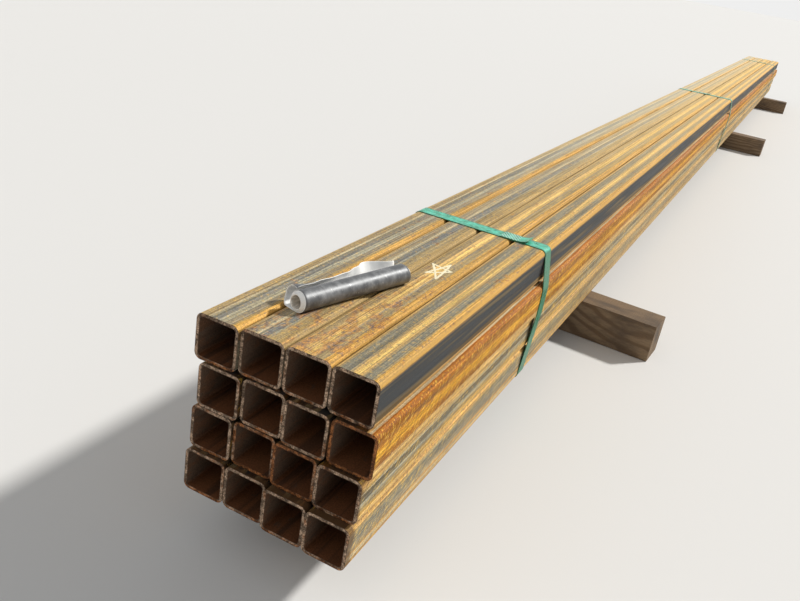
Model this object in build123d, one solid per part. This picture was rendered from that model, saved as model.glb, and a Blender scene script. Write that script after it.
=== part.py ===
from build123d import *
import os
from math import asin, atan, cos, degrees, radians, sqrt

os.makedirs("parts", exist_ok=True)

# Square structural tube, 2-1/2 in x 3/16 in, in 24 ft lengths
tube_side = 63.5
tube_wall = 4.76
tube_length = 7315.2
corner_radius_outside = 2 * tube_wall
corner_radius_inside = corner_radius_outside - tube_wall

# How the tubes lie: rows counted from the top, columns from the left
rows = 4
columns = 4
row_shift = [0.0, 10.7, 4.0, 3.3]
column_gaps = [
    [0.2, 0.6, 0.9],
    [0.5, 0.9, 0.7],
    [0.4, 0.5, 0.5],
    [0.4, 0.5, 0.4],
]
near_end_set_back = [
    [2.4, 6.7, 7.8, 7.7],
    [-0.6, 4.0, -0.2, 2.5],
    [-0.1, 3.2, -1.5, -4.0],
    [-5.8, -5.8, -12.0, -14.2],
]

# Past the near strap the rows spring up a little, each off the one below
near_end_lift = [1.9, 1.3, 0.6, 0.0]
spring_length = 598.0

# Timber bearers, sawn from 4 x 4
timber_side = 88.9
timber_arris = 2.5
bearer_length = 610.0
bearer_near_from_end = 1142.0
bearer_middle_share = 0.596
bearer_far_from_end = 636.0
bearer_middles = {
    "bearer_near": bearer_near_from_end,
    "bearer_middle": bearer_middle_share * tube_length,
    "bearer_far": tube_length - bearer_far_from_end,
}
bearer_skew = {"bearer_near": -3.4, "bearer_middle": -1.2, "bearer_far": 2.4}

# Plastic straps, 1-1/4 in x 0.050 in, friction welded with an overlap
strap_width = 31.75
strap_thickness = 1.27
strap_fit_gap = 0.1
strap_near_from_end = 628.0
strap_middle_share = 0.49
strap_far_from_end = 562.0
strap_middles = {
    "strap_near": strap_near_from_end,
    "strap_middle": strap_middle_share * tube_length,
    "strap_far": tube_length - strap_far_from_end,
}
joint_length = 52.0
tail_free_length = 18.0
tail_lift = 5.0
joint_tip_from_corner = {"strap_near": 26.0, "strap_middle": 95.0, "strap_far": 62.0}

# Rolled sheet that lies on the top row: a roll in front and an open curl behind it
sheet_thickness = 0.9
sheet_height = 193.0
roll_radius = 15.0
roll_half_turns = 4
roll_step = 1.7
base_width = 21.0
curl_radius = 17.0
curl_degrees = 125.0
roll_angle = 15.0
roll_near_point = (88.2, 95.0)
roll_fit_gap = 0.3

# Heights that follow from the sizes above
stack_bottom = timber_side
stack_top = stack_bottom + rows * tube_side


def row_left(row):
    """Left side of a row before the stack is centred."""
    return row_shift[row]


def row_right(row):
    return row_left(row) + columns * tube_side + sum(column_gaps[row])


stack_left = min(row_left(row) for row in range(rows))
stack_right = max(row_right(row) for row in range(rows))
centre_x = (stack_left + stack_right) / 2
front_y = min(min(line) for line in near_end_set_back)
back_y = tube_length + max(max(line) for line in near_end_set_back)
centre_y = (front_y + back_y) / 2


def tube_x(row, column):
    """Middle of a tube across the stack."""
    gaps = sum(column_gaps[row][:column])
    return row_left(row) + (column + 0.5) * tube_side + gaps - centre_x


def tube_z(row):
    """Middle height of a row, the top row being row 0."""
    return stack_bottom + (rows - row - 0.5) * tube_side


def section_plane(x, y, z):
    """Upright plane across the stack, its local y pointing up."""
    return Plane(origin=(x, y, z), x_dir=(1, 0, 0), z_dir=(0, -1, 0))


def save(shape, node):
    shape.label = node
    export_step(shape, os.path.join("parts", node + ".step"))


# Tubes: straight from the spring length on, and a shallow arc upwards before it
bore_side = tube_side - 2 * tube_wall
section = RectangleRounded(tube_side, tube_side, corner_radius_outside)
section -= RectangleRounded(bore_side, bore_side, corner_radius_inside)

for row in range(rows):
    lift = near_end_lift[row]
    for column in range(columns):
        set_back = near_end_set_back[row][column]
        x = tube_x(row, column)
        z = tube_z(row)
        if lift == 0:
            place = section_plane(x, set_back - centre_y, z)
            tube = extrude(place * section, amount=-tube_length)
        else:
            arc_reach = spring_length - set_back
            arc_radius = (arc_reach**2 + lift**2) / (2 * lift)
            arc_degrees = degrees(asin(arc_reach / arc_radius))
            arc_end_y = spring_length - centre_y
            place = section_plane(x, arc_end_y, z)
            straight_length = tube_length - arc_radius * radians(arc_degrees)
            straight = extrude(place * section, amount=-straight_length)
            turning_line = Axis((x, arc_end_y, z + arc_radius), (-1, 0, 0))
            sprung = revolve(place * section, axis=turning_line, revolution_arc=arc_degrees)
            tube = straight + sprung
        save(tube, "tube_r" + str(row + 1) + "_c" + str(column + 1))

# Bearers
for node, middle in bearer_middles.items():
    timber = Box(bearer_length, timber_side, timber_side)
    timber = chamfer(timber.edges().filter_by(Axis.X), timber_arris)
    place = Pos(0, middle - centre_y, timber_side / 2) * Rot(0, 0, bearer_skew[node])
    save(place * timber, node)

# Straps: each follows the outline that is pulled tight round the tubes' corners
corner_inset = corner_radius_outside
corner_points = []
for row in range(rows):
    left_x = tube_x(row, 0) - tube_side / 2 + corner_inset
    right_x = tube_x(row, columns - 1) + tube_side / 2 - corner_inset
    low_z = tube_z(row) - tube_side / 2 + corner_inset
    high_z = tube_z(row) + tube_side / 2 - corner_inset
    corner_points += [(left_x, low_z), (left_x, high_z), (right_x, low_z), (right_x, high_z)]


def turns_left(a, b, c):
    return (b[0] - a[0]) * (c[1] - a[1]) - (b[1] - a[1]) * (c[0] - a[0]) > 1e-9


def tight_outline(points):
    """Points of the convex outline, anticlockwise."""
    ordered = sorted(set(points))
    lower = []
    for point in ordered:
        while len(lower) > 1 and not turns_left(lower[-2], lower[-1], point):
            lower.pop()
        lower.append(point)
    upper = []
    for point in reversed(ordered):
        while len(upper) > 1 and not turns_left(upper[-2], upper[-1], point):
            upper.pop()
        upper.append(point)
    return lower[:-1] + upper[:-1]


outline = Polygon(*tight_outline(corner_points), align=None)
inner_offset = corner_radius_outside + strap_fit_gap
outer_offset = inner_offset + strap_thickness
loop = offset(outline, amount=outer_offset) - offset(outline, amount=inner_offset)
strap_top = stack_top + strap_fit_gap + strap_thickness
top_right_x = tube_x(0, columns - 1) + tube_side / 2 - corner_radius_outside

for node, middle in strap_middles.items():
    tip_x = top_right_x - joint_tip_from_corner[node]
    joint_left = tip_x - joint_length
    tail_start = tip_x - tail_free_length
    # The overlap lies welded on the strap, and its free end curls up a little
    middle_height = strap_top + strap_thickness / 2
    overlap_line = Wire(
        [
            Line((joint_left, middle_height), (tail_start, middle_height)),
            TangentArc(
                (tail_start, middle_height), (tip_x, middle_height + tail_lift), tangent=(1, 0)
            ),
        ]
    )
    overlap = trace(overlap_line, strap_thickness)
    near_edge = middle - strap_width / 2 - centre_y
    strap = extrude(section_plane(0, near_edge, 0) * (loop + overlap), amount=-strap_width)
    save(strap, node)


# Rolled sheet: a chain of half circles in front, one open curl behind, a flat base between
roll_lines = []
radius = roll_radius
centre = Vector(0, radius)
for turn in range(roll_half_turns):
    way = 1 if turn % 2 == 0 else -1
    turn_start = centre + Vector(0, -way * radius)
    turn_middle = centre + Vector(way * radius, 0)
    turn_end = centre + Vector(0, way * radius)
    roll_lines.append(ThreePointArc(turn_start, turn_middle, turn_end))
    centre += Vector(0, way * roll_step / 2)
    radius -= roll_step / 2

curl_start = Vector(-base_width, 0)
curl_centre = Vector(-base_width, curl_radius)


def on_curl(turned):
    """Point of the curl, turned from its lowest point."""
    return curl_centre + Vector(0, -curl_radius).rotate(Axis.Z, -turned)


curl = ThreePointArc(curl_start, on_curl(curl_degrees / 2), on_curl(curl_degrees))
middle_line = Wire([Line(curl_start, Vector(0, 0)), curl] + roll_lines)
sheet_section = trace(middle_line, sheet_thickness)


def top_height(y_from_end):
    """Height of the top row's upper side at a distance from the near end."""
    reach = max(spring_length - y_from_end, 0)
    top_arc_radius = (spring_length**2 + near_end_lift[0] ** 2) / (2 * near_end_lift[0])
    return stack_top + top_arc_radius - sqrt(top_arc_radius**2 - reach**2)


roll_far_y = roll_near_point[1] + sheet_height * cos(radians(roll_angle))
near_height = top_height(roll_near_point[1])
roll_slope = degrees(atan((near_height - top_height(roll_far_y)) / sheet_height))
roll_across = Vector(1, 0, 0).rotate(Axis.Z, -roll_angle)
roll_direction = Vector(0, 1, 0).rotate(Axis.X, -roll_slope).rotate(Axis.Z, -roll_angle)
roll_origin = Vector(
    roll_near_point[0] - centre_x,
    roll_near_point[1] - centre_y,
    near_height + sheet_thickness / 2 + roll_fit_gap,
)
roll_plane = Plane(origin=roll_origin, x_dir=roll_across, z_dir=-roll_direction)
rolled_sheet = extrude(roll_plane * sheet_section, amount=-sheet_height)
save(rolled_sheet, "rolled_sheet")
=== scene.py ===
import random
from math import cos, hypot, pi, radians, sin, sqrt

import bpy
from mathutils import Matrix, Vector, noise


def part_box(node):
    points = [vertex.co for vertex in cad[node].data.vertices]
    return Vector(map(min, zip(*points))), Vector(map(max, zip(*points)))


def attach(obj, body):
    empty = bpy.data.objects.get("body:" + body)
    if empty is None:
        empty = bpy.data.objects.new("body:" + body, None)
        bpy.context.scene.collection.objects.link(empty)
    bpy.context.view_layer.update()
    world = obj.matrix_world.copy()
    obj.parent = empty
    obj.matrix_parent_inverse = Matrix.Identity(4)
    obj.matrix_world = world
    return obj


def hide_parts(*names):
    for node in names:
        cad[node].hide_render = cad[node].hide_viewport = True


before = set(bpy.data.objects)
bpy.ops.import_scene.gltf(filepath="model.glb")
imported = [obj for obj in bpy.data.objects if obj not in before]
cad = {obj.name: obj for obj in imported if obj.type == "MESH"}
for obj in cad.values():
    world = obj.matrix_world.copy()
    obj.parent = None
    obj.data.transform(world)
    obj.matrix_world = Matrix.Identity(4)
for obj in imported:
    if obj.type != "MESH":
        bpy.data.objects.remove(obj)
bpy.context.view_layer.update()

# Sizes of the stack, in metres
tube_side = 0.0635
tube_wall = 0.00476
corner_radius = 0.0095
half_side = tube_side / 2
inner_half = half_side - tube_wall
spring_reach = 0.598
rows = 4
columns = 4
near_end = min(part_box(name)[0].y for name in cad if name.startswith("tube"))
# The spring is measured from the stack's own zero, which the foremost tube passes by this much
furthest_set_forward = 0.0142
spring_end = near_end + furthest_set_forward + spring_reach


def tube_name(row, column):
    return "tube_r%d_c%d" % (row + 1, column + 1)


def tube_centre(row, column):
    """Middle across, middle height where the tube is straight, and the rise at its near end."""
    low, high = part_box(tube_name(row, column))
    return (low.x + high.x) / 2, low.z + half_side, high.z - low.z - tube_side


# Node trees
def paint(red, green, blue):
    """A colour as it looks on a screen, 0 to 255, as the shader wants it."""
    parts = [value / 255 for value in (red, green, blue)]
    linear = [p / 12.92 if p <= 0.04045 else ((p + 0.055) / 1.055) ** 2.4 for p in parts]
    return (*linear, 1.0)


class Board:
    """Places and joins the nodes of one tree."""

    def __init__(self, tree):
        self.tree = tree

    def join(self, socket, value):
        if isinstance(value, bpy.types.NodeSocket):
            self.tree.links.new(value, socket)
        else:
            socket.default_value = value

    def node(self, kind, sockets=None, **settings):
        made = self.tree.nodes.new("ShaderNode" + kind)
        for name, value in settings.items():
            setattr(made, name, value)
        for name, value in (sockets or {}).items():
            self.join(made.inputs[name], value)
        return made

    def maths(self, operation, *values, clamp=False):
        made = self.node("Math", operation=operation, use_clamp=clamp)
        for socket, value in zip(made.inputs, values):
            self.join(socket, value)
        return made.outputs[0]

    def mix(self, amount, first, second, blend="MIX"):
        """Mixes two colours, which the Mix node keeps in sockets 6 and 7 and puts out at 2."""
        made = self.node("Mix", data_type="RGBA", blend_type=blend, clamp_factor=True)
        self.join(made.inputs[0], amount)
        self.join(made.inputs[6], first)
        self.join(made.inputs[7], second)
        return made.outputs[2]

    def darken(self, colour, shade):
        """Multiplies a colour by a shade, where 1 leaves it as it is."""
        return self.mix(1.0, colour, self.build_up(shade, shade, shade), "MULTIPLY")

    def blend_value(self, amount, first, second):
        """Mixes two plain values, which the Mix node keeps in sockets 2 and 3 and puts out at 0."""
        made = self.node("Mix", data_type="FLOAT", clamp_factor=True)
        self.join(made.inputs[0], amount)
        self.join(made.inputs[2], first)
        self.join(made.inputs[3], second)
        return made.outputs[0]

    def fade(self, value, start, end, low=0.0, high=1.0):
        """Low up to start, high from end on, smooth between."""
        made = self.node("MapRange", interpolation_type="SMOOTHSTEP")
        for name, number in (("Value", value), ("From Min", start), ("From Max", end)):
            self.join(made.inputs[name], number)
        self.join(made.inputs["To Min"], low)
        self.join(made.inputs["To Max"], high)
        return made.outputs["Result"]

    def grain(self, place, scale, detail=2.0, roughness=0.5, distortion=0.0):
        made = self.node("TexNoise", {"Vector": place, "Scale": scale, "Detail": detail,
                                      "Roughness": roughness, "Distortion": distortion})
        return made.outputs["Fac"]

    def stretch(self, place, factors):
        return self.node("Mapping", {"Vector": place, "Scale": factors}).outputs["Vector"]

    def move(self, place, shift):
        return self.node("VectorMath", {0: place, 1: shift}, operation="ADD").outputs["Vector"]

    def split(self, vector):
        return self.node("SeparateXYZ", {"Vector": vector}).outputs

    def build_up(self, across, along, up):
        return self.node("CombineXYZ", {"X": across, "Y": along, "Z": up}).outputs["Vector"]

    def use(self, group, sockets):
        made = self.node("Group", node_tree=group)
        for name, value in sockets.items():
            self.join(made.inputs[name], value)
        return made.outputs

    def bump(self, height, distance, strength):
        made = self.node("Bump", {"Height": height, "Distance": distance, "Strength": strength})
        return made.outputs["Normal"]


def new_group(name, inputs, outputs):
    tree = bpy.data.node_groups.new(name, "ShaderNodeTree")
    for way, sockets in (("INPUT", inputs), ("OUTPUT", outputs)):
        for label, kind in sockets:
            tree.interface.new_socket(label, in_out=way, socket_type="NodeSocket" + kind)
    entry = tree.nodes.new("NodeGroupInput")
    way_out = tree.nodes.new("NodeGroupOutput")
    return Board(tree), entry.outputs, way_out.inputs


def new_material(name):
    made = bpy.data.materials.new(name)
    made.use_nodes = True
    board = Board(made.node_tree)
    shader = made.node_tree.nodes["Principled BSDF"]
    return made, board, shader


def object_place(board):
    return board.node("TexCoord").outputs["Object"]


def surface_normal(board):
    return board.node("NewGeometry").outputs["Normal"]


def dress(name, material):
    """Gives a CAD node one material."""
    slots = cad[name].data.materials
    slots.clear()
    slots.append(material)


# Shared effects
def tube_section_group():
    """Where a point lies on a tube: round its section, in its wall, and from its mouth.

    Round goes from 0 to 1, from the left edge of the top, over the top, down the right side,
    back under the tube and up its left side. Wall is 0 at the bore and 1 at the outside, and
    Outside is 1 where a face isn't the bore's.
    """
    inputs = [("Place", "Vector"), ("Centre Across", "Float"), ("Centre Height", "Float"),
              ("Near Rise", "Float")]
    outputs = [("Centred", "Vector"), ("Round", "Float"), ("Wall", "Float"),
               ("Outside", "Float"), ("From Mouth", "Float"), ("Up", "Float")]
    board, given, out = new_group("tube section", inputs, outputs)
    place = board.split(given["Place"])
    sprung = board.maths("SUBTRACT", spring_end, place["Y"])
    sprung = board.maths("DIVIDE", sprung, spring_reach, clamp=True)
    rise = board.maths("MULTIPLY", board.maths("MULTIPLY", sprung, sprung), given["Near Rise"])
    across = board.maths("SUBTRACT", place["X"], given["Centre Across"])
    up = board.maths("SUBTRACT", place["Z"], board.maths("ADD", given["Centre Height"], rise))
    size_across = board.maths("ABSOLUTE", across)
    size_up = board.maths("ABSOLUTE", up)
    reach = board.maths("MAXIMUM", board.maths("MAXIMUM", size_across, size_up), 1e-5)
    on_side = board.maths("GREATER_THAN", size_across, size_up)
    way_across = board.maths("SIGN", across)
    way_up = board.maths("SIGN", up)
    share_across = board.maths("MULTIPLY", board.maths("DIVIDE", across, reach), 0.5)
    share_up = board.maths("MULTIPLY", board.maths("DIVIDE", up, reach), 0.5)
    flat = board.maths("SUBTRACT", 1.5, way_up)
    flat = board.maths("MULTIPLY_ADD", share_across, way_up, flat)
    upright = board.maths("SUBTRACT", 2.5, way_across)
    upright = board.maths("SUBTRACT", upright, board.maths("MULTIPLY", share_up, way_across))
    turn = board.blend_value(on_side, flat, upright)
    board.join(out["Centred"], board.build_up(across, place["Y"], up))
    board.join(out["Round"], board.maths("DIVIDE", turn, 4.0))
    wall = board.maths("DIVIDE", board.maths("SUBTRACT", reach, inner_half), tube_wall)
    board.join(out["Wall"], wall)
    board.join(out["Outside"], board.maths("GREATER_THAN", wall, 0.3))
    board.join(out["From Mouth"], board.maths("SUBTRACT", place["Y"], near_end))
    board.join(out["Up"], up)
    return board.tree


def streaks_group():
    """Streaks that run along a tube, patches of bloom, and the grain of scale and rust."""
    inputs = [("Place", "Vector"), ("Seed", "Float")]
    outputs = [("Thin", "Float"), ("Broad", "Float"), ("Patches", "Float"),
               ("Grain", "Float"), ("Flecks", "Float"), ("Lines", "Float"), ("Hairs", "Float")]
    board, given, out = new_group("lengthwise streaks", inputs, outputs)
    shift = board.build_up(given["Seed"], given["Seed"], given["Seed"])
    place = board.move(given["Place"], shift)
    thin = board.grain(board.stretch(place, (1.0, 0.014, 1.0)), 430.0, 3.0, 0.6)
    board.join(out["Thin"], thin)
    lines = board.grain(board.stretch(place, (1.0, 0.004, 1.0)), 900.0, 2.0, 0.5)
    board.join(out["Lines"], lines)
    broad = board.grain(board.stretch(place, (1.0, 0.03, 1.0)), 75.0, 3.0, 0.5)
    board.join(out["Broad"], broad)
    patches = board.grain(board.stretch(place, (1.0, 0.45, 1.0)), 62.0, 5.0, 0.65, 0.4)
    board.join(out["Patches"], patches)
    grain = board.grain(board.stretch(place, (1.0, 0.5, 1.0)), 700.0, 3.0, 0.7)
    board.join(out["Grain"], grain)
    flecks = board.grain(board.stretch(place, (1.0, 0.7, 1.0)), 240.0, 3.0, 0.6)
    board.join(out["Flecks"], flecks)
    # Short hairs of rust that slant across the sides
    parts = board.split(place)
    slant = board.maths("MULTIPLY", board.maths("ADD", parts["Y"], parts["Z"]), 0.16)
    square_to_it = board.maths("SUBTRACT", parts["Z"], parts["Y"])
    hairs = board.grain(board.build_up(parts["X"], slant, square_to_it), 330.0, 3.0, 0.6)
    board.join(out["Hairs"], hairs)
    return board.tree


def cut_face_group():
    """A sawn tube end: blotched and speckled steel with rust, dark pits and dark rims."""
    inputs = [("Place", "Vector"), ("Wall", "Float"), ("Rust", "Float"), ("Seed", "Float")]
    outputs = [("Colour", "Color"), ("Height", "Float")]
    board, given, out = new_group("cut face", inputs, outputs)
    shift = board.build_up(given["Seed"], 0.0, given["Seed"])
    place = board.move(given["Place"], shift)
    speckle = board.grain(place, 520.0, 4.0, 0.7)
    pits = board.grain(place, 200.0, 4.0, 0.65)
    bloom = board.grain(place, 45.0, 4.0, 0.65)
    steel = board.mix(board.fade(speckle, 0.36, 0.66), paint(92, 74, 58), paint(182, 155, 131))
    rim = board.maths("ABSOLUTE", board.maths("SUBTRACT", given["Wall"], 0.5))
    rim = board.fade(board.maths("ADD", rim, board.maths("MULTIPLY", pits, 0.4)), 0.48, 0.66)
    # The lower wall of every mouth stays wet longest, so it rusts more
    low_wall = board.fade(board.split(given["Place"])["Z"], -0.0268, -0.0290, 0.0, 0.14)
    more_rust = board.maths("ADD", given["Rust"], low_wall)
    rusty = board.fade(board.maths("ADD", bloom, more_rust), 0.52, 0.74)
    rust = board.mix(board.fade(speckle, 0.35, 0.65), paint(72, 44, 26), paint(154, 98, 56))
    colour = board.mix(rusty, steel, rust)
    dark = board.fade(pits, 0.56, 0.66)
    dark_pits = board.maths("MULTIPLY", dark, 0.75)
    dark_rim = board.maths("MULTIPLY", rim, 0.7)
    colour = board.mix(board.maths("MAXIMUM", dark_pits, dark_rim), colour, paint(40, 29, 22))
    blotches = board.grain(place, 125.0, 4.0, 0.65)
    colour = board.darken(colour, board.fade(blotches, 0.40, 0.60, 0.50, 1.50))
    board.join(out["Colour"], colour)
    board.join(out["Height"], board.maths("SUBTRACT", speckle, board.maths("MULTIPLY", dark, 0.6)))
    return board.tree


tube_section = tube_section_group()
streaks = streaks_group()
cut_face = cut_face_group()

# Tubes
finish = {
    "scale": paint(140, 134, 114),
    "blue_scale": paint(134, 133, 126),
    "pale_scale": paint(172, 166, 142),
    "dark_scale": paint(60, 63, 65),
    "dark_brown": paint(96, 80, 56),
    "brown": paint(132, 106, 72),
    "grey_brown": paint(160, 146, 120),
    "olive": paint(168, 148, 108),
    "tan": paint(172, 149, 108),
    "sand": paint(206, 164, 104),
    "pale": paint(204, 188, 152),
    "dull_ochre": paint(184, 156, 104),
    "ochre": paint(206, 160, 84),
    "gold": paint(218, 180, 114),
    "bright_gold": paint(242, 206, 124),
    "side_scale": paint(112, 106, 88),
    "rust": paint(154, 98, 26),
    "orange_rust": paint(184, 122, 28),
    "smooth_rust": paint(180, 112, 48),
    "side_gold": paint(218, 158, 46),
    # Dark unweathered scale where another tube covers a face, darkened further as painted shade
    "shade_and_unweathered_brown": paint(54, 38, 26),
    "shade_and_unweathered_scale": paint(42, 38, 36),
}

# Bands of finish: where each starts, in millimetres from the left edge of the top face, then
# down the right side, back under the tube and up its left side
face_mm = 63.5
round_mm = 4 * face_mm
under_and_left = [(127, "brown"), (138, "grey_brown"), (150, "scale"), (166, "brown"),
                  (178, "olive"), (190.5, "brown"), (201, "orange_rust"), (214, "scale"),
                  (229, "tan"), (240, "dark_scale"), (250, "brown")]
bands = {
    "tube_r1_c1": [(0, "brown"), (3, "dull_ochre"), (7, "tan"), (17, "pale"), (21.5, "scale"),
                   (25, "blue_scale"), (33, "pale_scale"), (42, "grey_brown"), (51, "dull_ochre"),
                   (55, "ochre"), (69, "brown"), (80, "scale")],
    "tube_r1_c2": [(0, "dull_ochre"), (5, "tan"), (9, "grey_brown"), (18, "pale_scale"),
                   (20.5, "pale"), (24.5, "scale"), (27, "blue_scale"), (36, "pale_scale"),
                   (39.5, "olive"), (51, "dull_ochre"), (69, "brown"), (80, "scale")],
    "tube_r1_c3": [(0, "brown"), (2.5, "dull_ochre"), (8, "tan"), (19, "gold"), (27, "bright_gold"),
                   (31, "gold"), (36, "grey_brown"), (40, "olive"), (51, "ochre"), (69, "brown"),
                   (80, "scale")],
    "tube_r1_c4": [(0, "ochre"), (2.5, "gold"), (6, "tan"), (9, "scale"), (22, "tan"),
                   (25, "gold"), (29, "bright_gold"), (33.5, "gold"), (37.5, "tan"),
                   (40, "scale"), (50, "olive"), (53.5, "ochre"), (69.5, "brown"),
                   (73, "dark_scale"), (110, "dark_brown"), (118, "sand"), (122, "gold")],
    # The lower rows' tops start dark where the row above covers them: unweathered scale and painted
    # shade
    "tube_r2_c4": [(0, "shade_and_unweathered_brown"), (46, "sand"), (49.5, "pale"), (53, "smooth_rust"),
                   (67, "rust"), (79, "orange_rust"), (85, "side_gold"), (95.5, "orange_rust"),
                   (101, "rust"), (108.5, "sand"), (112.5, "gold"), (120.5, "tan")],
    "tube_r3_c4": [(0, "shade_and_unweathered_brown"), (56, "sand"), (74, "dull_ochre"), (80, "pale_scale"),
                   (83, "side_scale"), (94.5, "pale_scale"), (101, "olive"), (108.5, "ochre"),
                   (113, "gold"), (121, "sand")],
    "tube_r4_c4": [(0, "shade_and_unweathered_brown"), (54, "sand"), (69, "olive"), (75, "scale"),
                   (92, "grey_brown"), (102, "sand"), (107, "pale"), (115, "sand"),
                   (123, "grey_brown")],
}

# Finishes of the faces that only show from the mouth, dark as unweathered scale and as painted
# shade, and of the stack's left side
shaded = ["shade_and_unweathered_scale", "shade_and_unweathered_brown", "dark_brown"]
weathered = ["scale", "pale_scale", "olive", "tan", "sand", "dull_ochre", "orange_rust", "brown"]
left_side_starts = 189.0
most_bands = 30


def made_up_bands(seed, left_shows):
    """A plausible set of bands for a tube that the photo shows only from its mouth."""
    draw = random.Random(seed)
    made = []
    at, last = 0.0, None
    while at < round_mm and len(made) < most_bands:
        names = weathered if left_shows and at >= left_side_starts else shaded
        name = draw.choice([n for n in names if n != last])
        made.append((at, name))
        last = name
        step = draw.uniform(5, 13)
        if left_shows and at < left_side_starts < at + step:
            step = left_side_starts - at
        at += step
    return made


def band_ramp(board, turn, name, seed):
    """The bands as a colour ramp round the section. Its stops have hard edges."""
    lines = bands.get(name)
    if lines is None:
        lines = made_up_bands(seed, name.endswith("_c1"))
    else:
        lines = lines + under_and_left
    ramp = board.node("ValToRGB", {"Fac": turn})
    ramp.color_ramp.interpolation = "CONSTANT"
    stops = ramp.color_ramp.elements
    while len(stops) < len(lines):
        stops.new(0.5)
    for stop, (at, colour_name) in zip(stops, lines):
        stop.position = at / round_mm
        stop.color = finish[colour_name]
    return ramp.outputs["Color"]


# How much more rust the cut ends have, and how much more bloom the tops have at the mouths
cut_rust = {"tube_r2_c4": 0.34, "tube_r3_c2": 0.16, "tube_r3_c3": 0.26, "tube_r4_c1": 0.06,
            "tube_r3_c1": 0.02, "tube_r3_c4": 0.06}
mouth_bloom = {"tube_r1_c2": 0.10, "tube_r1_c3": 0.13}
# How far these tubes turn tan further along
further_along = {"tube_r4_c4": 0.45, "tube_r3_c4": 0.15}
smooth_sided_tube = "tube_r1_c4"
# Painted sheen on the top row, pale like dust, one colour a column, and how much of the bands shows
# through it
sheen_colours = [paint(248, 226, 182), paint(250, 218, 158), paint(252, 212, 136),
                paint(250, 210, 140)]
sheen_tint = 0.3


def usual_finish(name):
    """The colour of a tube's top, its bands taken together."""
    edges = [at for at, colour_name in bands[name] if at < face_mm] + [face_mm]
    shares = [(end - start) / face_mm for start, end in zip(edges, edges[1:])]
    names = [colour_name for at, colour_name in bands[name]]
    return [sum(share * finish[n][i] for share, n in zip(shares, names)) for i in range(3)]


def long_bands(board, section, marks, name, seed):
    """The tube's bands, with streaky and slightly ragged edges."""
    wander = board.maths("MULTIPLY", board.maths("SUBTRACT", marks["Thin"], 0.5), 0.014)
    ragged = board.maths("MULTIPLY", board.maths("SUBTRACT", marks["Flecks"], 0.5), 0.008)
    turn = board.maths("ADD", section["Round"], board.maths("ADD", wander, ragged))
    return band_ramp(board, turn, name, seed)


def bloom_mask(board, section, marks, on_top, name):
    """Where rust blooms in patches over the top, more of it near some mouths."""
    near = board.fade(section["From Mouth"], 0.16, 0.42, 1.0, 0.0)
    more = board.maths("MULTIPLY", near, mouth_bloom.get(name, 0.0))
    patches = board.maths("ADD", marks["Patches"], more)
    return board.maths("MULTIPLY", board.fade(patches, 0.58, 0.70), on_top)


def stained(board, colour, section, marks, bloom, name):
    """Broad stains along the bands, and the bloom on top of them."""
    if name in further_along:
        far = board.fade(section["From Mouth"], 0.5, 1.2, 0.0, further_along[name])
        colour = board.mix(far, colour, finish["tan"])
    stain = board.fade(marks["Broad"], 0.50, 0.72, 0.0, 0.35)
    stain_name = "dull_ochre" if name.startswith("tube_r1") else "rust"
    colour = board.mix(stain, colour, finish[stain_name])
    spots = board.fade(marks["Flecks"], 0.42, 0.58)
    bloom_colour = board.mix(spots, paint(150, 110, 88), paint(196, 132, 70))
    return board.mix(board.maths("MULTIPLY", bloom, 0.6), colour, bloom_colour)


def flecked(board, colour, marks, normal, on_top, row, column):
    """Flecks on the tops of the top row, and slanting hairs of rust on the stack's two sides."""
    if row == 0:
        where = on_top
        gold = board.fade(marks["Flecks"], 0.56, 0.66, 0.0, 0.45)
        dark = board.fade(marks["Flecks"], 0.44, 0.34, 0.0, 0.5)
        gold_paint, dark_paint = paint(226, 184, 100), paint(92, 92, 102)
    elif column in (0, columns - 1):
        where = board.fade(board.maths("ABSOLUTE", normal["X"]), 0.1, 0.4)
        gold = board.fade(marks["Hairs"], 0.53, 0.66, 0.0, 0.7)
        dark = board.fade(marks["Hairs"], 0.46, 0.34, 0.0, 0.7)
        gold_paint, dark_paint = paint(238, 192, 84), paint(106, 84, 62)
    else:
        return colour
    colour = board.mix(board.maths("MULTIPLY", gold, where), colour, gold_paint)
    return board.mix(board.maths("MULTIPLY", dark, where), colour, dark_paint)


def streak_shade(board, marks, normal, grain_shade, name):
    """How much the streaks and the grain darken or lighten each spot, less on clean scale."""
    line_shade = board.fade(marks["Lines"], 0.36, 0.60, 0.74, 1.12)
    thin_shade = board.fade(marks["Thin"], 0.32, 0.66, 0.72, 1.22)
    shade = board.maths("MULTIPLY", line_shade, thin_shade)
    shade = board.maths("MULTIPLY", shade, grain_shade)
    if name == smooth_sided_tube:
        clean_scale = board.fade(normal["X"], 0.4, 0.8, 0.0, 0.65)
        shade = board.blend_value(clean_scale, shade, 0.98)
    return shade


def groove_shade_and_rim(board, colour, section, marks, column):
    """Painted shade in the grooves between neighbours, and a brown rim behind the mouth."""
    from_middle = board.split(section["Centred"])["X"]
    if column == 0:
        to_neighbour = from_middle
    elif column == columns - 1:
        to_neighbour = board.maths("MULTIPLY", from_middle, -1.0)
    else:
        to_neighbour = board.maths("ABSOLUTE", from_middle)
    # Painted shade: darker where a tube meets its neighbour
    groove_shade = board.fade(to_neighbour, 0.0300, 0.0316, 0.0, 0.4)
    colour = board.mix(groove_shade, colour, finish["shade_and_unweathered_brown"])
    ragged = board.maths("MULTIPLY", marks["Patches"], -0.030)
    from_rim = board.maths("ADD", section["From Mouth"], ragged)
    mouth_rim = board.fade(from_rim, 0.002, -0.006, 0.0, 0.75)
    return board.mix(mouth_rim, colour, paint(92, 66, 42))


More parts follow.
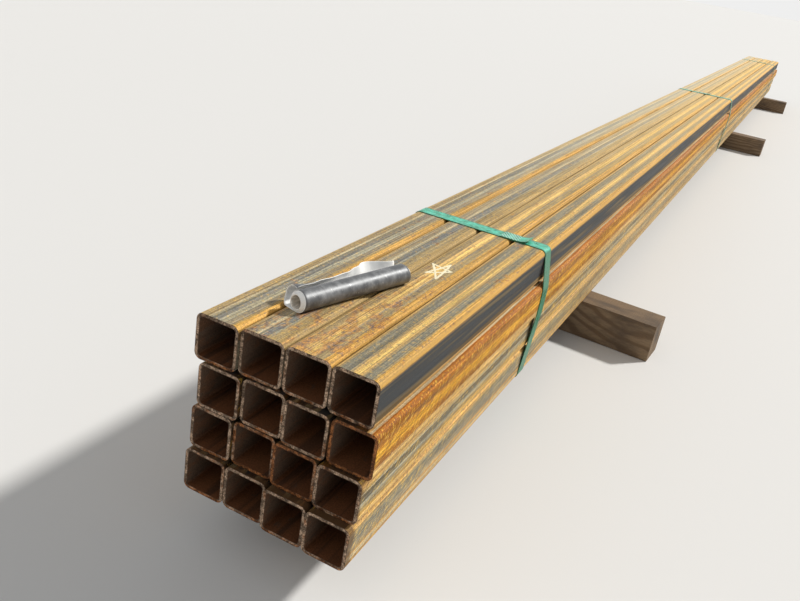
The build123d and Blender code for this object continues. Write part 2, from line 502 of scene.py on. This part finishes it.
def painted_dust_sheen(board, colour, plain_bands, on_top, name, column):
    """Painted sheen on the top row, pale like dust, which shows at a low angle and takes on the
    bands' tint.
    """
    glance = board.node("LayerWeight", {"Blend": 0.5}).outputs["Facing"]
    sheen_film = board.maths("MULTIPLY", board.fade(glance, 0.70, 0.98, 0.0, 0.62), on_top)
    tint = board.node("Gamma", {"Color": plain_bands, "Gamma": sheen_tint}).outputs["Color"]
    usual = usual_finish(name)
    dust_and_sheen = [pale / part ** sheen_tint for pale, part in zip(sheen_colours[column], usual)]
    dust_and_sheen = board.mix(1.0, tint, (*dust_and_sheen, 1.0), "MULTIPLY")
    return board.mix(sheen_film, colour, dust_and_sheen)


def bore_colour(board, section, marks, normal, grain_shade):
    """Inside: grey-brown scale darkened as painted shade, rustier on the bore's floor, with painted
    light on the wall that faces +X.
    """
    low = board.fade(section["Up"], -0.020, -0.026)
    rust = board.maths("ADD", marks["Patches"], board.maths("MULTIPLY", low, 0.22))
    colour = board.mix(board.fade(rust, 0.45, 0.62), paint(82, 70, 60), paint(104, 66, 42))
    dark_stain = board.fade(marks["Broad"], 0.5, 0.62, 0.0, 0.6)
    colour = board.mix(dark_stain, colour, paint(44, 34, 28))
    # Painted light on the bore's wall that faces +X
    painted_light_wall = board.fade(normal["X"], 0.5, 0.9, 0.0, 0.45)
    colour = board.mix(painted_light_wall, colour, paint(128, 102, 82))
    return board.darken(colour, grain_shade)


def tube_material(row, column):
    name = tube_name(row, column)
    # Moves the streaks, so that no two tubes have the same
    seed = 3.7 * row + 1.9 * column + 0.6
    made, board, shader = new_material(name + " mill scale and rust")
    across, height, rise = tube_centre(row, column)
    section = board.use(tube_section, {"Place": object_place(board), "Centre Across": across,
                                       "Centre Height": height, "Near Rise": rise})
    marks = board.use(streaks, {"Place": section["Centred"], "Seed": seed})
    normal = board.split(surface_normal(board))
    on_top = board.fade(normal["Z"], 0.55, 0.9)
    on_end = board.maths("GREATER_THAN", board.maths("ABSOLUTE", normal["Y"]), 0.5)
    grain_shade = board.fade(marks["Grain"], 0.32, 0.66, 0.72, 1.24)

    plain_bands = long_bands(board, section, marks, name, seed)
    bloom = bloom_mask(board, section, marks, on_top, name)
    colour = stained(board, plain_bands, section, marks, bloom, name)
    colour = flecked(board, colour, marks, normal, on_top, row, column)
    colour = board.darken(colour, streak_shade(board, marks, normal, grain_shade, name))
    colour = groove_shade_and_rim(board, colour, section, marks, column)
    # Painted sheen, pale like dust, on the top row
    if row == 0:
        colour = painted_dust_sheen(board, colour, plain_bands, on_top, name, column)
    bore = bore_colour(board, section, marks, normal, grain_shade)
    colour = board.mix(section["Outside"], bore, colour)
    end = board.use(cut_face, {"Place": section["Centred"], "Wall": section["Wall"],
                               "Seed": seed, "Rust": cut_rust.get(name, 0.0)})
    colour = board.mix(on_end, colour, end["Colour"])

    board.join(shader.inputs["Base Color"], colour)
    board.join(shader.inputs["Specular IOR Level"], 0.12)
    rough = board.maths("ADD", board.fade(marks["Broad"], 0.35, 0.65, 0.50, 0.66),
                        board.maths("MULTIPLY", bloom, 0.2))
    board.join(shader.inputs["Roughness"], board.blend_value(on_end, rough, 0.62))
    relief = board.maths("ADD", board.maths("MULTIPLY", marks["Grain"], 0.5),
                         board.maths("MULTIPLY", marks["Flecks"], 0.6))
    relief = board.blend_value(on_end, relief, end["Height"])
    board.join(shader.inputs["Normal"], board.bump(relief, 0.0006, 0.6))
    return made


for row in range(rows):
    for column in range(columns):
        dress(tube_name(row, column), tube_material(row, column))


# Bearers. Rings and saw marks are sine waves, in radians a metre
ring_rate = 900.0
saw_rate = 1500.0


def timber_material():
    made, board, shader = new_material("sawn bearer timber")
    place = object_place(board)
    parts = board.split(place)
    # The rings circle a pith that lies outside the timber, and show on the sawn ends
    wavy = board.grain(board.stretch(place, (0.6, 1.0, 1.0)), 9.0, 2.0)
    offset = board.maths("MULTIPLY", board.maths("SUBTRACT", wavy, 0.5), 0.03)
    from_pith = board.maths("PINGPONG", board.maths("ADD", parts["Y"], 0.17), 0.5)
    above_pith = board.maths("ADD", parts["Z"], 0.06)
    squares = board.maths("ADD", board.maths("POWER", from_pith, 2.0),
                          board.maths("POWER", above_pith, 2.0))
    ring_place = board.maths("ADD", board.maths("SQRT", squares), offset)
    rings = board.maths("SINE", board.maths("MULTIPLY", ring_place, ring_rate))
    fibre = board.grain(board.stretch(place, (0.04, 1.0, 1.0)), 900.0, 4.0, 0.7)
    stain = board.grain(board.stretch(place, (0.4, 1.0, 1.0)), 14.0, 4.0, 0.6)
    # The timber's colours are darkened as painted shade, for the stack's shade over the bearers
    colour = board.mix(board.fade(rings, -0.4, 0.9), paint(136, 114, 88), paint(108, 86, 62))
    colour = board.mix(board.fade(stain, 0.46, 0.66), colour, paint(86, 72, 58))
    colour = board.darken(colour, board.fade(fibre, 0.3, 0.7, 0.66, 1.15))
    board.join(shader.inputs["Base Color"], colour)
    board.join(shader.inputs["Roughness"], board.fade(fibre, 0.3, 0.7, 0.72, 0.9))
    saw = board.maths("SINE", board.maths("MULTIPLY", parts["X"], saw_rate))
    height = board.maths("ADD", board.maths("MULTIPLY", saw, 0.15), fibre)
    board.join(shader.inputs["Normal"], board.bump(height, 0.0008, 0.7))
    return made


timber = timber_material()
for name in ("bearer_near", "bearer_middle", "bearer_far"):
    dress(name, timber)


# Straps: the weld starts and ends at these distances from the overlap's tip, and the tip
# lies at its own distance from the corner of the top row
weld_start_from_tip = 0.052
weld_end_from_tip = 0.018
weld_blur = 0.002
tip_from_corner = {"strap_near": 0.026, "strap_middle": 0.095, "strap_far": 0.062}
strap_half_width = 0.0159
# The embossing and the weld's ridges are sine waves, in radians a metre
emboss_rate = 2400.0
ridge_rate = 1050.0


def strap_material(name):
    made, board, shader = new_material(name + " embossed green plastic")
    place = object_place(board)
    parts = board.split(place)
    normal = board.split(surface_normal(board))
    low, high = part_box(name)
    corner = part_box("tube_r1_c4")[1].x - corner_radius
    # Small raised diamonds, laid out along the loop and across its width
    on_side = board.maths("GREATER_THAN", board.maths("ABSOLUTE", normal["X"]), 0.7)
    run = board.blend_value(on_side, parts["X"], parts["Z"])
    one_way = board.maths("MULTIPLY", board.maths("ADD", run, parts["Y"]), emboss_rate)
    other_way = board.maths("MULTIPLY", board.maths("SUBTRACT", run, parts["Y"]), emboss_rate)
    diamonds = board.maths("MULTIPLY", board.maths("SINE", one_way), board.maths("SINE", other_way))
    dust_and_sheen = board.grain(place, 70.0, 4.0, 0.65)
    scuff = board.grain(board.stretch(place, (0.1, 1.0, 0.1)), 900.0, 2.0, 0.6)
    colour = board.mix(board.fade(dust_and_sheen, 0.40, 0.62), paint(16, 152, 116), paint(74, 202, 172))
    # Dull edges, paler scuffs, and painted shade: a darker green on the faces that turn away from
    # the sky
    from_middle = board.maths("SUBTRACT", parts["Y"], (low.y + high.y) / 2)
    from_middle = board.maths("DIVIDE", board.maths("ABSOLUTE", from_middle), strap_half_width)
    scuffed_edge = board.maths("ADD", from_middle, board.maths("MULTIPLY", scuff, 0.3))
    edge = board.fade(scuffed_edge, 0.86, 1.06)
    colour = board.mix(board.maths("MULTIPLY", edge, 0.6), colour, paint(14, 92, 66))
    colour = board.mix(board.fade(scuff, 0.54, 0.70, 0.0, 0.6), colour, paint(176, 236, 216))
    # Painted shade on the strap's sides
    painted_side_shade = board.fade(normal["Z"], 0.75, 0.35, 0.0, 0.85)
    colour = board.mix(painted_side_shade, colour, paint(18, 100, 60))
    # Friction weld: slanting ridges, whitened where the plastic was pressed
    tip = corner - tip_from_corner[name]
    start, end = tip - weld_start_from_tip, tip - weld_end_from_tip
    weld = board.maths("MULTIPLY", board.fade(parts["X"], start - weld_blur, start + weld_blur),
                       board.fade(parts["X"], end + weld_blur, end - weld_blur))
    weld = board.maths("MULTIPLY", weld, board.maths("GREATER_THAN", normal["Z"], 0.5))
    slant = board.maths("ADD", parts["X"], board.maths("MULTIPLY", parts["Y"], 0.7))
    ridges = board.maths("SINE", board.maths("MULTIPLY", slant, ridge_rate))
    ridges = board.maths("ADD", ridges, board.maths("MULTIPLY", dust_and_sheen, 1.2))
    whitened = board.maths("MULTIPLY", board.fade(ridges, 0.6, 1.4), weld)
    colour = board.mix(board.maths("MULTIPLY", whitened, 0.7), colour, paint(214, 248, 236))
    pressed = board.maths("MULTIPLY", board.fade(ridges, 0.2, -0.4), weld)
    colour = board.mix(board.maths("MULTIPLY", pressed, 0.6), colour, paint(14, 104, 76))
    board.join(shader.inputs["Base Color"], colour)
    board.join(shader.inputs["Roughness"], board.fade(dust_and_sheen, 0.3, 0.7, 0.24, 0.40))
    height = board.maths("ADD", board.maths("MULTIPLY", diamonds, 0.12),
                         board.maths("MULTIPLY", board.maths("MULTIPLY", ridges, weld), 0.5))
    board.join(shader.inputs["Normal"], board.bump(height, 0.0008, 0.8))
    return made


for name in tip_from_corner:
    dress(name, strap_material(name))


# Rolled sheet
top_tube_low, top_tube_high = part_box("tube_r1_c2")
top_rise = top_tube_high.z - top_tube_low.z - tube_side
top_arc_radius = (spring_reach**2 + top_rise**2) / (2 * top_rise)


def top_height(y):
    """Height of the top row's upper face, which rises a little towards its near end."""
    reach = min(max(spring_end - y, 0.0), spring_reach)
    sunk = top_arc_radius - sqrt(top_arc_radius**2 - reach**2)
    return top_tube_low.z + tube_side + sunk


def mesh_object(name, points, faces, face_materials, materials, smooth=True):
    mesh = bpy.data.meshes.new(name)
    mesh.from_pydata(points, [], faces)
    for material in materials:
        mesh.materials.append(material)
    mesh.polygons.foreach_set("material_index", face_materials)
    mesh.polygons.foreach_set("use_smooth", [smooth] * len(faces))
    mesh.update()
    made = bpy.data.objects.new(name, mesh)
    bpy.context.scene.collection.objects.link(made)
    return made


def sheet_dark_side():
    """The outside of the roll: grey, cloudy, with dark hoops round it and pale scratches."""
    made, board, shader = new_material("sheet dark side")
    place = object_place(board)
    cloudy = board.grain(place, 60.0, 4.0, 0.6)
    scratch = board.grain(board.stretch(place, (0.3, 1.0, 0.3)), 500.0, 3.0, 0.6)
    hoops = board.grain(board.stretch(place, (0.02, 1.0, 0.02)), 160.0, 3.0, 0.6)
    colour = board.mix(board.fade(cloudy, 0.35, 0.7), paint(90, 92, 95), paint(128, 130, 132))
    colour = board.mix(board.fade(hoops, 0.5, 0.7, 0.0, 0.28), colour, paint(66, 66, 68))
    colour = board.mix(board.fade(scratch, 0.6, 0.75, 0.0, 0.5), colour, paint(196, 194, 192))
    board.join(shader.inputs["Base Color"], colour)
    board.join(shader.inputs["Metallic"], 0.45)
    board.join(shader.inputs["Roughness"], board.fade(cloudy, 0.3, 0.7, 0.40, 0.54))
    relief = board.maths("ADD", scratch, cloudy)
    board.join(shader.inputs["Normal"], board.bump(relief, 0.0003, 0.6))
    return made


def sheet_pale_side():
    made, board, shader = new_material("sheet pale side")
    cloudy = board.grain(object_place(board), 40.0, 4.0, 0.6)
    colour = board.mix(board.fade(cloudy, 0.4, 0.8), paint(253, 254, 253), paint(242, 242, 240))
    board.join(shader.inputs["Base Color"], colour)
    board.join(shader.inputs["Roughness"], board.fade(cloudy, 0.3, 0.7, 0.45, 0.6))
    board.join(shader.inputs["Normal"], board.bump(cloudy, 0.0006, 0.4))
    return made


def sheet_cut_edge():
    made, board, shader = new_material("sheet cut edge")
    board.join(shader.inputs["Base Color"], paint(253, 253, 250))
    board.join(shader.inputs["Roughness"], 0.6)
    return made


def sheet_inner_turns():
    """The pale side where it is wound in: greyer inside the roll as painted shade, and a little
    dusty.
    """
    made, board, shader = new_material("sheet shaded dusty inner turns")
    streaky = board.grain(board.stretch(object_place(board), (1.0, 0.1, 1.0)), 300.0, 3.0, 0.6)
    colour = board.mix(board.fade(streaky, 0.35, 0.65), paint(204, 197, 186), paint(240, 235, 226))
    board.join(shader.inputs["Base Color"], colour)
    board.join(shader.inputs["Roughness"], 0.7)
    return made


roll_length = 0.200
sheet_thickness = 0.0009
seat_gap = 0.0003
roll_turn = radians(-15.0)
# Where the roll's near end lies on the top row, as the source measures it from the stack's
# left side and its zero near the mouths, less the stack's middle on that same measure
roll_near_point = (0.0882, 0.095)
stack_middle = (0.1334, 3.6544)
roll_start = Vector((roll_near_point[0] - stack_middle[0], roll_near_point[1] - stack_middle[1],
                     0.0))
# The stretch that winds up in front: its length, its first radius near the mouths, how much
# wider that is at the far end, and how much it shrinks in a turn
front_run = 0.345
front_radius_near = 0.0142
front_radius_gain = 0.0004
winding_step = 0.00105
front_steps = 288
back_steps = 120
along_steps = 60
# Faces along the sheet's line, counted from its inner end. The pale side is greyer for the first
# ones, painted shade and dust, and the dark side starts where the roll's outer turn does
shaded_dusty_faces = 74
pale_faces = 204


def ease(value, start, end):
    """0 up to start, 1 from end on, smooth between."""
    share = min(max((value - start) / (end - start), 0.0), 1.0)
    return share * share * (3 - 2 * share)


# How the sheet stands behind the roll, at shares of its length: millimetres that lie flat,
# radius of its bend, degrees of the bend, millimetres to its free edge
flap_sections = [
    (0.00, 20.0, 12.8, 200, 65.0),
    (0.14, 12.5, 12.9, 160, 50.0),
    (0.32, 5.5, 16.0, 122, 40.5),
    (0.50, 9.0, 16.6, 110, 43.0),
    (0.63, 15.5, 14.0, 86, 49.0),
    (0.76, 20.5, 12.0, 62, 54.0),
    (1.00, 7.5, 12.0, 76, 40.0),
]


def flap_section(share):
    for first, second in zip(flap_sections, flap_sections[1:]):
        if share <= second[0]:
            part = ease(share, first[0], second[0])
            return [a + (b - a) * part for a, b in zip(first[1:], second[1:])]
    return list(flap_sections[-1][1:])


def sheet_line(share):
    """Middle line of the sheet's section at a share of the roll's length, from 0 near to 1 far.

    Points are (across, up, run), the run being counted from where the sheet lies on the
    tubes at (0, 0). In front it winds up into the roll. Behind, it is a curl at the near
    mouth, which opens into an upright flap towards the far end.
    """
    flat_run, curl_radius, bend_degrees, back_run = flap_section(share)
    flat_run, curl_radius, back_run = flat_run / 1000, curl_radius / 1000, back_run / 1000
    bend_limit = radians(bend_degrees)
    front_radius = front_radius_near + front_radius_gain * share
    front, back = [], []
    small = front_run / front_steps
    angle, across, up = 0.0, 0.0, 0.0
    for index in range(front_steps + 1):
        front.append((across, up, -index * small))
        bend = small / (front_radius - winding_step * angle / (2 * pi))
        across += small * cos(angle + bend / 2)
        up += small * sin(angle + bend / 2)
        angle += bend
    small = back_run / back_steps
    angle, across, up = 0.0, 0.0, 0.0
    for index in range(back_steps + 1):
        back.append((across, up, index * small))
        bend = small / curl_radius if index * small > flat_run and angle < bend_limit else 0.0
        across -= small * cos(angle + bend / 2)
        up += small * sin(angle + bend / 2)
        angle += bend
    return front, back


def slip_along(share, run, up):
    """How far a spot of the sheet slips along the roll, which is wound a little askew."""
    curl_set_back = 0.009 * ease(run, 0.022, 0.040) * (1 - 0.5 * share)
    turns_set_back = 0.004 * (2 * share - 1) * ease(-run, 0.05, front_run)
    lean = (0.009 * share - 0.003) * (0.5 - up / 0.030)
    ragged = 0.0008 * noise.noise((run * 60, share * 2, 4.0))
    return curl_set_back + (turns_set_back - 0.005) + lean + ragged


def sheet_points(rings):
    """Two points for each spot of the middle line, one on each side of the sheet."""
    across_way = Vector((cos(roll_turn), sin(roll_turn), 0.0))
    along_way = Vector((-sin(roll_turn), cos(roll_turn), 0.0))
    points = []
    for share, ring in rings:
        for index, (across, up, run) in enumerate(ring):
            before = ring[max(index - 1, 0)]
            after = ring[min(index + 1, len(ring) - 1)]
            run_across, run_up = after[0] - before[0], after[1] - before[1]
            size = hypot(run_across, run_up)
            away = (run_up / size, -run_across / size)
            middle = roll_start + along_way * (share * roll_length + slip_along(share, run, up))
            base = top_height(middle.y) + sheet_thickness / 2 + seat_gap
            for side in (-1, 1):
                offset_across = across + side * away[0] * sheet_thickness / 2
                offset_up = up + side * away[1] * sheet_thickness / 2
                point = middle + across_way * offset_across
                points.append((point.x, point.y, base + offset_up))
    return points


def rolled_sheet():
    rings = []
    for step in range(along_steps + 1):
        share = step / along_steps
        front, back = sheet_line(share)
        rings.append((share, list(reversed(front)) + back[2::2]))
    points = sheet_points(rings)
    per_line = len(rings[0][1]) - 1
    width = (per_line + 1) * 2
    materials = (sheet_dark_side(), sheet_pale_side(), sheet_cut_edge(), sheet_inner_turns())
    dark_side, pale_side, edge, inner_turns = range(4)
    faces, kinds = [], []
    for step in range(along_steps):
        for index in range(per_line):
            a = step * width + index * 2
            b = a + 2
            faces.append((a, b, b + width, a + width))
            kinds.append(pale_side if index < pale_faces else dark_side)
            faces.append((b + 1, a + 1, a + 1 + width, b + 1 + width))
            kinds.append(inner_turns if index < shaded_dusty_faces else pale_side)
        first = step * width
        faces.append((first + 1, first, first + width, first + 1 + width))
        kinds.append(edge)
        last = first + per_line * 2
        faces.append((last, last + 1, last + 1 + width, last + width))
        kinds.append(edge)
    for step in (0, along_steps):
        for index in range(per_line):
            a = step * width + index * 2
            ring_face = (a, a + 1, a + 3, a + 2)
            faces.append(ring_face if step == 0 else ring_face[::-1])
            kinds.append(edge)
    roll = mesh_object("rolled_sheet_skin", points, faces, kinds, materials)
    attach(roll, "root")
    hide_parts("rolled_sheet")


rolled_sheet()


# Star drawn by hand on the third tube of the top row, in five strokes
def star_material():
    made, board, shader = new_material("paint marker star")
    place = object_place(board)
    dry = board.grain(place, 500.0, 3.0, 0.7)
    colour = board.mix(board.fade(dry, 0.35, 0.7), paint(252, 246, 216), paint(226, 212, 170))
    board.join(shader.inputs["Base Color"], colour)
    board.join(shader.inputs["Roughness"], board.fade(dry, 0.3, 0.7, 0.7, 0.9))
    board.join(shader.inputs["Normal"], board.bump(dry, 0.0003, 0.6))
    return made


# The star's five corners on the top row, and the strokes as pairs of corners
star_points = [(0.0283, -3.2437), (0.0411, -3.2698), (0.0350, -3.3158), (0.0123, -3.3046),
               (0.0049, -3.2609)]
star_order = [(4, 1), (1, 3), (3, 0), (0, 2), (2, 4)]
stroke_steps = 26
stroke_half_width = 0.0019
stroke_overshoot = 0.0018
stroke_bow = 0.0009
paint_thickness = 0.00012
each_stroke_higher = 0.00003
paint_edge = 0.00002


def star():
    points, faces = [], []
    for number, (start, end) in enumerate(star_order):
        a, b = Vector(star_points[start]), Vector(star_points[end])
        way = (b - a).normalized()
        beside = Vector((-way.y, way.x))
        a = a - way * stroke_overshoot
        b = b + way * stroke_overshoot
        lift = paint_thickness + each_stroke_higher * number
        for step in range(stroke_steps + 1):
            share = step / stroke_steps
            bow = stroke_bow * sin(pi * share) * (1 if number % 2 else -1)
            middle = a.lerp(b, share) + beside * bow
            wide = stroke_half_width + 0.0005 * noise.noise((share * 7, number * 3.1, 0.5))
            wide *= min(1.0, 0.35 + 9 * min(share, 1 - share))
            for side in (-1.0, -0.5, 0.5, 1.0):
                ragged = 1 + 0.22 * noise.noise((share * 31, number * 2.3, side * 3))
                spot = middle + beside * wide * side * ragged
                thick = lift if abs(side) < 0.9 else paint_edge
                points.append((spot.x, spot.y, top_height(spot.y) + thick))
        base = number * (stroke_steps + 1) * 4
        for step in range(stroke_steps):
            for side in range(3):
                first = base + step * 4 + side
                faces.append((first, first + 4, first + 5, first + 1))
    made = mesh_object("star_mark", points, faces, [0] * len(faces), (star_material(),))
    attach(made, "root")


star()

# Floor, light and camera
floor_material, board, shader = new_material("pale studio floor")
board.join(shader.inputs["Base Color"], (0.74, 0.74, 0.735, 1.0))
board.join(shader.inputs["Roughness"], 0.9)
floor_reach = 60.0
floor_corners = [(across * floor_reach, along * floor_reach, 0.0)
                 for across, along in ((-1, -1), (1, -1), (1, 1), (-1, 1))]
floor = mesh_object("floor", floor_corners, [(0, 1, 2, 3)], [0], (floor_material,), smooth=False)

world = bpy.data.worlds.new("studio")
bpy.context.scene.world = world
world.use_nodes = True
# The camera and glossy faces see a pale room, and the soft light that it gives is weaker
room_seen = 0.90
room_light = 0.35
board = Board(world.node_tree)
background = world.node_tree.nodes["Background"]
rays = board.node("LightPath")
seen = board.maths("MAXIMUM", rays.outputs["Is Camera Ray"], rays.outputs["Is Glossy Ray"])
board.join(background.inputs["Color"], (0.96, 0.96, 0.955, 1.0))
board.join(background.inputs["Strength"], board.blend_value(seen, room_light, room_seen))


def lamp(name, strength, spread, azimuth, elevation, colour=(1.0, 1.0, 1.0)):
    """A far lamp. Azimuth is measured from +Y towards +X."""
    light = bpy.data.lights.new(name, "SUN")
    light.energy = strength
    light.angle = radians(spread)
    light.color = colour
    made = bpy.data.objects.new(name, light)
    bpy.context.scene.collection.objects.link(made)
    turn, rise = radians(azimuth), radians(elevation)
    towards = Vector((sin(turn) * cos(rise), cos(turn) * cos(rise), sin(rise)))
    made.rotation_mode = "QUATERNION"
    made.rotation_quaternion = towards.to_track_quat("Z", "Y")
    made.location = towards * 6


lamp("key_lamp", 3.35, 5.0, 40.0, 40.0, (1.0, 0.97, 0.92))
lamp("fill_lamp", 0.45, 60.0, 200.0, 35.0)

# The camera was fitted to the photo: its lens in pixels, its place and its three directions
photo_width = 800
lens_pixels = 810.496
sensor_width = 36.0
camera_data = bpy.data.cameras.new("camera")
camera_data.sensor_width = sensor_width
camera_data.lens = sensor_width * lens_pixels / photo_width
camera_data.clip_start = 0.01
camera_data.clip_end = 200.0
camera = bpy.data.objects.new("camera", camera_data)
bpy.context.scene.collection.objects.link(camera)
camera_place = Vector((0.4341, -4.3649, 0.7938))
camera_right = Vector((0.876858, 0.453130, 0.160604))
camera_up = Vector((-0.318081, 0.296335, 0.900561))
camera_back = Vector((0.360478, -0.840749, 0.403976))
turn = Matrix((camera_right, camera_up, camera_back)).transposed()
camera.matrix_world = Matrix.Translation(camera_place) @ turn.to_4x4()
bpy.context.scene.camera = camera
bpy.context.scene.view_settings.view_transform = "Standard"

bpy.context.view_layer.update()
